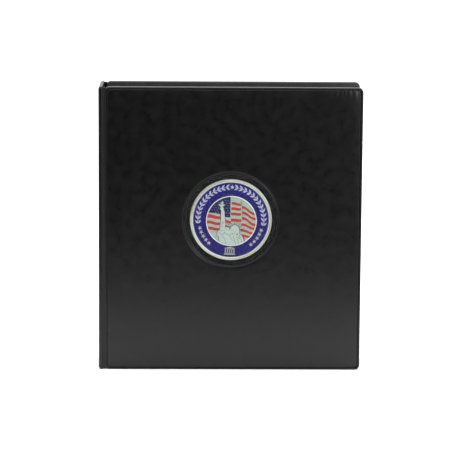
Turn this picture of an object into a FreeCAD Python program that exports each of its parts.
import FreeCAD, Part
import math
import os
import re
import Sketcher

# A ring-bound coin album that stands upright on its bottom edge.
# +X runs from the spine to the fore edge, +Y from the front cover to the back
# cover, +Z up.  The origin is the centre of the footprint, on the ground.

SIZES = {
    # the closed album
    "album_width": 240.0,
    "album_height": 261.0,
    "album_depth": 54.0,
    # cover and spine build-up
    "wrap_skin": 0.8,
    "board_thick": 2.5,
    "front_pad": 1.7,
    "back_pad": 1.2,
    "turn_in": 15.0,
    "lining_margin": 4.5,
    "lining_proud": 0.5,
    "cover_corner": 4.5,
    "front_edge": 2.4,
    "back_edge": 1.8,
    "spine_thick": 3.8,
    "spine_setback": 0.2,
    "spine_edge": 1.5,
    "crease": 1.8,
    "crease_strip": 0.6,
    "crease_gap": 0.4,
    # medallion set in the front cover
    "medallion_x": 0.9,
    "medallion_z": 139.5,
    "well_radius": 43.6,
    "cup_wall": 1.5,
    "cup_floor": 0.8,
    "cup_sink": 0.2,
    "coin_radius": 36.4,
    "coin_thick": 2.4,
    "coin_rim": 1.2,
    "coin_rim_rise": 0.3,
    "rope_radius": 37.0,
    "rope_wire": 1.1,
    "gasket_inner": 38.3,
    "gasket_thick": 2.2,
    "window_thick": 0.7,
    "window_sink": 0.3,
    # ring mechanism
    "ring_radius": 16.0,
    "wire_radius": 1.3,
    "ring_rise": 25.0,
    "ring_spacing": 60.0,
    "ring_leg_angle": 135.0,
    "ring_tip_gap": 0.1,
    "plate_length": 216.4,
    "plate_half_width": 10.0,
    "plate_rise": 7.7,
    "plate_sheet": 0.8,
    "plate_shoulder": 2.6,
    "notch_height": 4.2,
    "notch_depth": 5.2,
    "notch_drop": 4.0,
    "blade_length": 209.2,
    "blade_edge": 9.0,
    "blade_thick": 1.0,
    "blade_gap": 0.3,
    "blade_lift": 4.15,
    "lever_pivot_rise": 3.4,
    "lever_pivot_inset": 2.2,
    "lever_sheet": 1.0,
    "lever_width": 10.0,
    "lever_foot_width": 5.0,
    "lever_foot": 2.8,
    "lever_flat": 2.6,
    "lever_tab_out": 13.5,
    "lever_tab_rise": 9.0,
    "lever_elbow": 9.6,
    "trunnion_radius": 1.0,
    "trunnion_play": 0.05,
    "rivet_spacing": 120.0,
    "rivet_radius": 1.9,
    "rivet_head": 3.6,
    "rivet_head_rise": 1.1,
    "rivet_play": 1.2,
    "rivet_root": 1.6,
    # pages
    "page_pitch": 4.0,
    "page_height": 250.0,
    "page_fore_margin": 12.0,
    "page_corner": 4.0,
    "film_thick": 0.8,
    "interleaf_thick": 0.4,
    "strip_thick": 0.5,
    "strip_width": 16.0,
    "slot_length": 8.2,
    "slot_height": 5.0,
    "slot_shift": 1.65,
    "slot_margin": 3.0,
}

RING_COUNT = 4
PAGE_COUNT = 5
X, Y, Z = FreeCAD.Vector(1, 0, 0), FreeCAD.Vector(0, 1, 0), FreeCAD.Vector(0, 0, 1)
ALONG_X = FreeCAD.Rotation(Y, 90)
ALONG_Y = FreeCAD.Rotation(X, -90)

doc = FreeCAD.newDocument("CoinAlbum")
sheet = doc.addObject("Spreadsheet::Sheet", "Sizes")
for row, (alias, number) in enumerate(SIZES.items(), start=1):
    sheet.set("A%d" % row, alias)
    sheet.set("B%d" % row, str(number))
    sheet.setAlias("B%d" % row, alias)
doc.recompute()

# Named places, as expressions on the sheet.
SPINE_FACE = "(-album_width / 2)"
SPINE_INNER = "(-album_width / 2 + spine_thick)"
LINING_TOP = "(-album_width / 2 + spine_thick + lining_proud)"
COVER_START = "(-album_width / 2 + spine_thick + crease)"
FORE_EDGE = "(album_width / 2)"
RING_CENTRE = "(-album_width / 2 + ring_rise)"
MID_HEIGHT = "(album_height / 2)"
PLATE_TOP = "(-album_width / 2 + spine_thick + lining_proud + plate_rise)"
BLADE_LOW = "(-album_width / 2 + spine_thick + lining_proud + blade_lift)"
BLADE_TOP = "(-album_width / 2 + spine_thick + lining_proud + blade_lift + blade_thick)"
PLATE_START = "(album_height / 2 - plate_length / 2)"
LEVER_PIVOT_X = "(-album_width / 2 + spine_thick + lining_proud + lever_pivot_rise)"
LEVER_PIVOT_Z = "(album_height / 2 - plate_length / 2 + lever_pivot_inset)"

WORD = re.compile(r"[a-z][a-z_]+")


def sized(text):
    """Point every size named in an expression at its cell of the sheet."""
    return WORD.sub(lambda found: "Sizes." + found.group() if found.group() in SIZES else found.group(), text)


def bind(thing, values):
    """Bind properties of a document object to expressions on the sheet."""
    for name, text in values.items():
        thing.setExpression(name, sized(text))


def place(thing, x="0", y="0", z="0"):
    """Bind the position of a document object."""
    bind(thing, {"Placement.Base.x": x, "Placement.Base.y": y, "Placement.Base.z": z})


def new_body(label):
    """Start a sub-part."""
    body = doc.addObject("PartDesign::Body", label)
    body.Label = label
    return body


def add_box(body, kind, x, y, z):
    """Add or cut a box; x, y and z are (low, high) pairs of expressions."""
    feature = body.newObject("PartDesign::%sBox" % kind, body.Name + "_box")
    place(feature, x[0], y[0], z[0])
    for size, (low, high) in zip(("Length", "Width", "Height"), (x, y, z)):
        bind(feature, {size: "(%s) - (%s)" % (high, low)})
    return feature


def add_round(body, kind, turn, centre, radius, length):
    """Add or cut a cylinder that starts at centre and runs along the turned axis."""
    feature = body.newObject("PartDesign::%sCylinder" % kind, body.Name + "_round")
    feature.Placement = FreeCAD.Placement(FreeCAD.Vector(), turn)
    place(feature, *centre)
    bind(feature, {"Radius": radius, "Height": length})
    return feature


def fillet(body, base, radius, wanted):
    """Round the edges of a feature that wanted(edge) picks."""
    doc.recompute()
    names = ["Edge%d" % index for index, edge in enumerate(base.Shape.Edges, start=1) if wanted(edge)]
    rounding = body.newObject("PartDesign::Fillet", body.Name + "_fillet")
    rounding.Base = (base, names)
    bind(rounding, {"Radius": radius})
    return rounding


def runs_along(axis):
    """Pick straight edges parallel to an axis."""
    def wanted(edge):
        return edge.Curve.TypeId == "Part::GeomLine" and abs(edge.Curve.Direction.dot(axis)) > 0.99
    return wanted


def lies_at(axis, level):
    """Pick edges that lie wholly in the plane at a level along an axis."""
    def wanted(edge):
        ends = (edge.BoundBox.getPoint(0).dot(axis), edge.BoundBox.getPoint(6).dot(axis))
        return all(abs(end - level) < 1e-4 for end in ends)
    return wanted


def origin_plane(body, role):
    """Find one of the body's own origin planes."""
    return next(plane for plane in body.Origin.OriginFeatures if plane.Role == role)


def new_sketch(body, role, name):
    """Start a sketch on one of the body's own origin planes."""
    sketch = body.newObject("Sketcher::SketchObject", body.Name + "_" + name)
    sketch.AttachmentSupport = [(origin_plane(body, role), "")]
    sketch.MapMode = "FlatFace"
    return sketch


def dimension(sketch, kind, where, start, text):
    """Add a driving dimension and bind it to the sheet."""
    index = sketch.addConstraint(Sketcher.Constraint(kind, *where, start))
    sketch.setExpression("Constraints[%d]" % index, sized(text))


def cut_from(label, base, tools):
    """Make a sub-part by cutting tools away from a base."""
    tool = tools[0]
    if len(tools) > 1:
        tool = doc.addObject("Part::MultiFuse", label + "_tools")
        tool.Shapes = tools
    part = doc.addObject("Part::Cut", label)
    part.Label = label
    part.Base = base
    part.Tool = tool
    return part


def mirrored(label, source, normal, x="0", y="0", z="0"):
    """Make a sub-part as the mirror image of another."""
    part = doc.addObject("Part::Mirroring", label)
    part.Label = label
    part.Source = source
    part.Normal = normal
    bind(part, {"Base.x": x, "Base.y": y, "Base.z": z})
    return part


# ---------------------------------------------------------------- covers

def cover_layers(side):
    """Depths below the cover's outer face at which each layer ends."""
    skin = "wrap_skin"
    pad = skin + " + %s_pad" % side
    board = pad + " + board_thick"
    inner_skin = board + " + wrap_skin"
    lining = inner_skin + " + lining_proud"
    return {"face": "0", "skin": skin, "pad": pad, "board": board, "inner_skin": inner_skin, "lining": lining}


def cover_span(side, near, far):
    """Low and high Y of a layer between two depths below the outer face."""
    if side == "front":
        return ("-album_depth / 2 + " + near, "-album_depth / 2 + " + far)
    return ("album_depth / 2 - (%s)" % far, "album_depth / 2 - (%s)" % near)


def inset(amount):
    """X and Z spans of the cover's plan, brought in by an amount all round."""
    across = (COVER_START + " + " + amount, FORE_EDGE + " - " + amount)
    upright = (amount, "album_height - (%s)" % amount)
    return across, upright


def cover_slab(label, side, near, far, amount, corner, edge=None):
    """A flat layer of the cover with rounded corners, and a rounded outer edge if asked."""
    body = new_body(label)
    across, upright = inset(amount)
    depth = cover_span(side, near, far)
    box = add_box(body, "Additive", across, depth, upright)
    rounded = fillet(body, box, corner, runs_along(Y))
    if edge:
        doc.recompute()
        sign = -1 if side == "front" else 1
        span = rounded.Shape.BoundBox
        outer = span.YMin if sign < 0 else span.YMax
        fillet(body, rounded, edge, lies_at(Y, outer))
    return body


def cover_lining(side, layers):
    """The lining sheet: a plug between the turn-ins and a wider sheet over them."""
    body = new_body(side + "_lining")
    plug_x, plug_z = inset("turn_in")
    add_box(body, "Additive", plug_x, cover_span(side, layers["board"], layers["inner_skin"]), plug_z)
    sheet_x, sheet_z = inset("lining_margin")
    add_box(body, "Additive", sheet_x, cover_span(side, layers["inner_skin"], layers["lining"]), sheet_z)
    return body


def cover(side):
    """The board, pad, lining and skin of one cover."""
    layers = cover_layers(side)
    inner_corner = "cover_corner - wrap_skin"
    edge = side + "_edge"
    inner_edge = edge + " - wrap_skin"
    board = cover_slab(side + "_board_blank", side, layers["pad"], layers["board"], "wrap_skin", inner_corner)
    pad_name = side + "_foam_blank"
    pad = cover_slab(pad_name, side, layers["skin"], layers["pad"], "wrap_skin", inner_corner, inner_edge)
    lining = cover_lining(side, layers)
    blank = cover_slab(side + "_wrap_blank", side, layers["face"], layers["inner_skin"], "0",
                       "cover_corner", edge)
    if side == "back":
        board.Label = "back_board"
        pad.Label = "back_foam"
        wrap = cut_from("back_wrap", blank, [board, pad, lining])
        return [board, pad, lining, wrap]
    well = new_body("well")
    start, end = cover_span("front", layers["face"], layers["board"])
    centre = ("medallion_x", start, "medallion_z")
    add_round(well, "Additive", ALONG_Y, centre, "well_radius", "(%s) - (%s)" % (end, start))
    cut_board = cut_from("front_board", board, [well])
    cut_pad = cut_from("front_foam", pad, [well])
    wrap = cut_from("front_wrap", blank, [board, pad, lining, well])
    return [cut_board, cut_pad, lining, wrap]


# ------------------------------------------------------------- medallion

def medallion():
    """The cup, the silver piece, the gasket ring and the clear window."""
    layers = cover_layers("front")
    floor_back = "-album_depth / 2 + " + layers["board"]
    floor_top = "(%s - cup_floor)" % floor_back
    rim = "(-album_depth / 2 + cup_sink)"

    cup = new_body("medallion_cup")
    add_round(cup, "Additive", ALONG_Y, ("medallion_x", rim, "medallion_z"), "well_radius",
              "(%s) - (%s)" % (floor_back, rim))
    add_round(cup, "Subtractive", ALONG_Y, ("medallion_x", rim, "medallion_z"), "well_radius - cup_wall",
              "(%s) - (%s)" % (floor_top, rim))

    coin = new_body("medallion")
    coin_face = "(%s - coin_thick)" % floor_top
    coin_centre = ("medallion_x", coin_face, "medallion_z")
    add_round(coin, "Additive", ALONG_Y, coin_centre, "coin_radius", "coin_thick")
    rope = coin.newObject("PartDesign::AdditiveTorus", "medallion_rope")
    rope.Placement = FreeCAD.Placement(FreeCAD.Vector(), ALONG_Y)
    place(rope, "medallion_x", coin_face + " + rope_wire", "medallion_z")
    bind(rope, {"Radius1": "rope_radius", "Radius2": "rope_wire"})
    rim_face = "(%s - coin_rim_rise)" % coin_face
    add_round(coin, "Additive", ALONG_Y, ("medallion_x", rim_face, "medallion_z"), "coin_radius",
              "coin_rim_rise + coin_thick / 2")
    add_round(coin, "Subtractive", ALONG_Y, ("medallion_x", rim_face, "medallion_z"),
              "coin_radius - coin_rim", "coin_rim_rise")

    gasket = new_body("gasket_ring")
    gasket_face = "(%s - gasket_thick)" % floor_top
    centre = ("medallion_x", gasket_face, "medallion_z")
    add_round(gasket, "Additive", ALONG_Y, centre, "well_radius - cup_wall", "gasket_thick")
    add_round(gasket, "Subtractive", ALONG_Y, centre, "gasket_inner", "gasket_thick")

    window = new_body("capsule_window")
    add_round(window, "Additive", ALONG_Y, ("medallion_x", rim + " + window_sink", "medallion_z"),
              "well_radius - cup_wall", "window_thick")
    return [cup, coin, gasket, window]


# ----------------------------------------------------------------- spine

def spine():
    """The spine's board, lining and skin."""
    half = "(album_depth / 2 - spine_setback)"
    whole_height = ("0", "album_height")
    blank = new_body("spine_wrap_blank")
    slab = add_box(blank, "Additive", (SPINE_FACE, SPINE_INNER), ("-" + half, half), whole_height)
    fillet(blank, slab, "spine_edge", runs_along(Z))

    board = new_body("spine_board_blank")
    board_span = (SPINE_FACE + " + wrap_skin", SPINE_INNER + " - wrap_skin")
    slab = add_box(board, "Additive", board_span, ("-%s + wrap_skin" % half, half + " - wrap_skin"),
                   ("wrap_skin", "album_height - wrap_skin"))
    fillet(board, slab, "spine_edge - wrap_skin", runs_along(Z))

    lining = new_body("spine_lining_blank")
    plug = ("-%s + turn_in / 2" % half, half + " - turn_in / 2")
    add_box(lining, "Additive", (SPINE_INNER + " - wrap_skin", SPINE_INNER), plug,
            ("turn_in", "album_height - turn_in"))
    sheet_span = ("-%s + lining_margin" % half, half + " - lining_margin")
    add_box(lining, "Additive", (SPINE_INNER, LINING_TOP), sheet_span,
            ("lining_margin", "album_height - lining_margin"))

    wrap = cut_from("spine_wrap", blank, [board, lining])
    posts = [rivet_post(name, sign) for name, sign in (("post_low", "-"), ("post_high", "+"))]
    cut_board = cut_from("spine_board", board, posts)
    cut_lining = cut_from("spine_lining", lining, posts)
    return [wrap, cut_board, cut_lining]


def rivet_post(label, sign):
    """The straight post of a rivet, from its root in the spine board to the plate's crown."""
    post = new_body(label)
    root = SPINE_INNER + " - wrap_skin - rivet_root"
    centre = (root, "0", "%s %s rivet_spacing / 2" % (MID_HEIGHT, sign))
    add_round(post, "Additive", ALONG_X, centre, "rivet_radius", "(%s) - (%s)" % (PLATE_TOP, root))
    return post


def rivet(label, sign):
    """A rivet: the post and a domed head on the plate's crown."""
    body = new_body(label)
    height = "%s %s rivet_spacing / 2" % (MID_HEIGHT, sign)
    root = SPINE_INNER + " - wrap_skin - rivet_root"
    post_length = "(%s) - (%s)" % (PLATE_TOP, root)
    add_round(body, "Additive", ALONG_X, (root, "0", height), "rivet_radius", post_length)
    head = add_round(body, "Additive", ALONG_X, (PLATE_TOP, "0", height), "rivet_head", "rivet_head_rise")
    doc.recompute()
    fillet(body, head, "rivet_head_rise * 0.85", lies_at(X, head.Shape.BoundBox.XMax))
    return body


def hinge_strip(side):
    """The strip of skin in the crease between the spine and a cover."""
    body = new_body(side + "_hinge_strip")
    depth = cover_span(side, "wrap_skin", "wrap_skin + crease_strip")
    add_box(body, "Additive", (SPINE_INNER, COVER_START + " - crease_gap"), depth,
            ("cover_corner", "album_height - cover_corner"))
    return body


# -------------------------------------------------------- ring mechanism

def ring_height(index):
    """Height of a ring, counted from the bottom."""
    return "%s + (%d - %g) * ring_spacing" % (MID_HEIGHT, index, (RING_COUNT + 1) / 2)


def cover_plate():
    """The arched plate, with a notch for each half ring and holes for rivets and levers."""
    along = (PLATE_START, "album_height - " + PLATE_START)
    outer = new_body("plate_outer")
    across = ("-plate_half_width", "plate_half_width")
    slab = add_box(outer, "Additive", (LINING_TOP, PLATE_TOP), across, along)
    doc.recompute()
    top = slab.Shape.BoundBox.XMax
    fillet(outer, slab, "plate_shoulder",
           lambda edge: runs_along(Z)(edge) and lies_at(X, top)(edge))

    inner = new_body("plate_inner")
    inner_half = "(plate_half_width - plate_sheet)"
    under_crown = PLATE_TOP + " - plate_sheet"
    slab = add_box(inner, "Additive", (LINING_TOP, under_crown), ("-" + inner_half, inner_half), along)
    doc.recompute()
    inner_top = slab.Shape.BoundBox.XMax
    fillet(inner, slab, "plate_shoulder - plate_sheet",
           lambda edge: runs_along(Z)(edge) and lies_at(X, inner_top)(edge))

    holes = [inner]
    for index in range(1, RING_COUNT + 1):
        upright = (ring_height(index) + " - notch_height / 2", ring_height(index) + " + notch_height / 2")
        for sign in ("-", ""):
            notch = new_body("notch_%d%s" % (index, "_front" if sign else "_back"))
            edges = (sign + "(plate_half_width + 1)", sign + "(plate_half_width - notch_depth)")
            across = edges if sign else tuple(reversed(edges))
            add_box(notch, "Additive", (PLATE_TOP + " - notch_drop", PLATE_TOP + " + 1"), across, upright)
            holes.append(notch)
    for name, sign in (("hole_low", "-"), ("hole_high", "+")):
        holes.append(rivet_post(name, sign))
    for name, height in (("pivot_low", LEVER_PIVOT_Z), ("pivot_high", "album_height - " + LEVER_PIVOT_Z)):
        pivot = new_body(name)
        add_round(pivot, "Additive", ALONG_Y, (LEVER_PIVOT_X, "-plate_half_width - 1", height),
                  "trunnion_radius + trunnion_play", "2 * plate_half_width + 2")
        holes.append(pivot)
    return cut_from("ring_cover_plate", outer, holes)


def blade(side):
    """One toggle blade, from its captured outer edge to the middle, cleared round the rivets."""
    body = new_body("blade_" + side)
    across = ("-blade_edge", "-blade_gap / 2") if side == "front" else ("blade_gap / 2", "blade_edge")
    upright = (MID_HEIGHT + " - blade_length / 2", MID_HEIGHT + " + blade_length / 2")
    add_box(body, "Additive", (BLADE_LOW, BLADE_TOP), across, upright)
    for sign in ("-", "+"):
        centre = (BLADE_LOW + " - 1", "0", "%s %s rivet_spacing / 2" % (MID_HEIGHT, sign))
        add_round(body, "Subtractive", ALONG_X, centre, "rivet_radius + rivet_play", "blade_thick + 2")
    return body


def half_ring(label, index):
    """The front half of a ring: an arc from the tip round to a straight leg that stands on its blade."""
    body = new_body(label)
    place(body, RING_CENTRE, "-ring_tip_gap / 2", ring_height(index))

    radius = SIZES["ring_radius"]
    leg_turn = math.radians(SIZES["ring_leg_angle"])
    leg_start = FreeCAD.Vector(radius * math.cos(leg_turn), -radius * math.sin(leg_turn), 0)
    leg_drop = SIZES["ring_rise"] - SIZES["spine_thick"] - SIZES["lining_proud"] - SIZES["blade_lift"]
    leg_run = leg_drop + leg_start.x
    leg_end = leg_start + FreeCAD.Vector(-leg_run, leg_run / math.tan(math.pi - leg_turn), 0)
    path = new_sketch(body, "XY_Plane", "path")
    circle = Part.Circle(FreeCAD.Vector(), Z, radius)
    arc = path.addGeometry(Part.ArcOfCircle(circle, -leg_turn, 0.0))
    leg = path.addGeometry(Part.LineSegment(leg_start, leg_end))
    path.addConstraint(Sketcher.Constraint("Coincident", arc, 3, -1, 1))
    path.addConstraint(Sketcher.Constraint("PointOnObject", arc, 2, -1))
    path.addConstraint(Sketcher.Constraint("Tangent", arc, 1, leg, 1))
    dimension(path, "Radius", (arc,), radius, "ring_radius")
    dimension(path, "DistanceX", (leg, 2, -1, 1), leg_drop,
              "ring_rise - spine_thick - lining_proud - blade_lift")
    dimension(path, "DistanceX", (leg, 1, -1, 1), -leg_start.x, "-ring_radius * cos(ring_leg_angle)")

    profile = new_sketch(body, "XZ_Plane", "profile")
    wire = profile.addGeometry(Part.Circle(FreeCAD.Vector(radius, 0, 0), Z, SIZES["wire_radius"]))
    profile.addConstraint(Sketcher.Constraint("PointOnObject", wire, 3, -1))
    dimension(profile, "DistanceX", (-1, 1, wire, 3), radius, "ring_radius")
    dimension(profile, "Radius", (wire,), SIZES["wire_radius"], "wire_radius")
    doc.recompute()

    pipe = body.newObject("PartDesign::AdditivePipe", label + "_pipe")
    pipe.Profile = profile
    pipe.Spine = (path, ["Edge1", "Edge2"])
    body.Tip = pipe
    foot_low = "-ring_rise + spine_thick + lining_proud"
    foot_top = foot_low + " + blade_lift + blade_thick"
    add_box(body, "Subtractive", (foot_low, foot_top), ("-ring_radius", "ring_radius"),
            ("-2 * wire_radius", "2 * wire_radius"))
    return body


def lever(label):
    """The bottom opening lever: a foot under the blades, a rising arm, a thumb tab and a cross trunnion."""
    body = new_body(label)
    place(body, LEVER_PIVOT_X, "0", LEVER_PIVOT_Z)
    half_sheet = SIZES["lever_sheet"] / 2
    flat = SIZES["lever_flat"]
    elbow = SIZES["lever_elbow"]
    rise = SIZES["lever_tab_rise"]
    tab_out = SIZES["lever_tab_out"]
    profile = new_sketch(body, "XZ_Plane", "arm")
    corners = [(-half_sheet, 0), (-half_sheet, -flat), (rise - half_sheet, -elbow),
               (rise - half_sheet, -tab_out), (rise + half_sheet, -tab_out),
               (rise + half_sheet, -elbow + half_sheet), (half_sheet, -flat + half_sheet), (half_sheet, 0)]
    points = [FreeCAD.Vector(across, out, 0) for across, out in corners]
    lines = [profile.addGeometry(Part.LineSegment(start, end))
             for start, end in zip(points, points[1:] + points[:1])]
    for line, following in zip(lines, lines[1:] + lines[:1]):
        profile.addConstraint(Sketcher.Constraint("Coincident", line, 2, following, 1))
    across_text = ["-lever_sheet / 2"] * 2 + ["lever_tab_rise - lever_sheet / 2"] * 2
    across_text += ["lever_tab_rise + lever_sheet / 2"] * 2 + ["lever_sheet / 2"] * 2
    out_text = ["0", "-lever_flat", "-lever_elbow", "-lever_tab_out", "-lever_tab_out",
                "-lever_elbow + lever_sheet / 2", "-lever_flat + lever_sheet / 2", "0"]
    for line, point, across, out in zip(lines, points, across_text, out_text):
        dimension(profile, "DistanceX", (-1, 1, line, 1), point.x, across)
        dimension(profile, "DistanceY", (-1, 1, line, 1), point.y, out)
    arm = body.newObject("PartDesign::Pad", label + "_arm")
    arm.Profile = profile
    arm.SideType = "Symmetric"
    bind(arm, {"Length": "lever_width"})
    body.Tip = arm
    add_box(body, "Additive", ("-lever_sheet / 2", "lever_sheet / 2"),
            ("-lever_foot_width / 2", "lever_foot_width / 2"), ("-lever_sheet / 2", "lever_foot"))
    add_round(body, "Additive", ALONG_Y, ("0", "-plate_half_width", "0"), "trunnion_radius",
              "2 * plate_half_width")
    return body


def ring_mechanism():
    """The plate, rivets, blades, half rings and levers."""
    parts = [cover_plate(), rivet("rivet_bottom", "-"), rivet("rivet_top", "+"), blade("front"), blade("back")]
    for index in range(1, RING_COUNT + 1):
        front = half_ring("ring_front_%d" % index, index)
        parts.append(front)
        parts.append(mirrored("ring_back_%d" % index, front, Y))
    bottom = lever("lever_bottom")
    parts.append(bottom)
    parts.append(mirrored("lever_top", bottom, Z, z=MID_HEIGHT))
    return parts


# ----------------------------------------------------------------- pages

def slotted_sheet(label, slot_x, x, y, corner=None):
    """A flat sheet with one slot for each ring."""
    body = new_body(label)
    low = "(album_height - page_height) / 2"
    base = add_box(body, "Additive", x, y, (low, low + " + page_height"))
    doc.recompute()
    edge_x = base.Shape.BoundBox.XMax
    if corner:
        base = fillet(body, base, corner, lambda edge: runs_along(Y)(edge) and lies_at(X, edge_x)(edge))
        doc.recompute()
    end_radius = "slot_height / 2"
    reach = "(slot_length / 2 - slot_height / 2)"
    cuts = []
    height = ring_height(1)
    cuts.append(add_box(body, "Subtractive", (slot_x + " - " + reach, slot_x + " + " + reach), y,
                        (height + " - " + end_radius, height + " + " + end_radius)))
    for sign in (" - ", " + "):
        cuts.append(add_round(body, "Subtractive", ALONG_Y, (slot_x + sign + reach, y[0], height), end_radius,
                              "(%s) - (%s)" % (y[1], y[0])))
    doc.recompute()
    pattern = body.newObject("PartDesign::LinearPattern", label + "_slots")
    pattern.Originals = cuts
    pattern.Direction = (origin_plane(body, "Z_Axis"), [""])
    bind(pattern, {"Length": "%d * ring_spacing" % (RING_COUNT - 1)})
    pattern.Occurrences = RING_COUNT
    body.Tip = pattern
    return body


def page(number):
    """One page: a clear pocket sheet, a punched binding strip and a black interleaf."""
    middle = "(%g * page_pitch)" % (number - (PAGE_COUNT + 1) / 2)
    hole = "%s + sqrt(ring_radius ^ 2 - %s ^ 2)" % (RING_CENTRE, middle)
    slot_x = "(%s + slot_shift)" % hole
    start = "(%s - slot_length / 2 - slot_margin)" % slot_x
    end = FORE_EDGE + " - page_fore_margin"
    film_y = (middle + " - film_thick / 2", middle + " + film_thick / 2")
    strip_y = (middle + " - film_thick / 2 - strip_thick", middle + " - film_thick / 2")
    interleaf_y = (middle + " + film_thick / 2", middle + " + film_thick / 2 + interleaf_thick")
    name = "page_%d_" % number
    return [slotted_sheet(name + "film", slot_x, (start, end), film_y, "page_corner"),
            slotted_sheet(name + "strip", slot_x, (start, start + " + strip_width"), strip_y),
            slotted_sheet(name + "interleaf", slot_x, (start, end), interleaf_y, "page_corner")]


# ----------------------------------------------------------------- build

parts = cover("front") + cover("back") + medallion() + spine()
parts += [hinge_strip("front"), hinge_strip("back")]
parts += ring_mechanism()
for page_number in range(1, PAGE_COUNT + 1):
    parts += page(page_number)
doc.recompute()

for thing in doc.Objects:
    if "Invalid" in thing.State or "Error" in thing.State:
        raise RuntimeError("%s failed to recompute: %s" % (thing.Name, thing.State))
for part in parts:
    if part.Shape.isNull() or not part.Shape.isValid() or not part.Shape.Solids:
        raise RuntimeError("%s has no valid solid" % part.Label)

os.makedirs("parts", exist_ok=True)
for part in parts:
    part.Shape.exportStep("parts/%s.step" % part.Label)
    print("%-22s solids %d  volume %.1f" % (part.Label, len(part.Shape.Solids), part.Shape.Volume))
print("%d sub-parts" % len(parts))
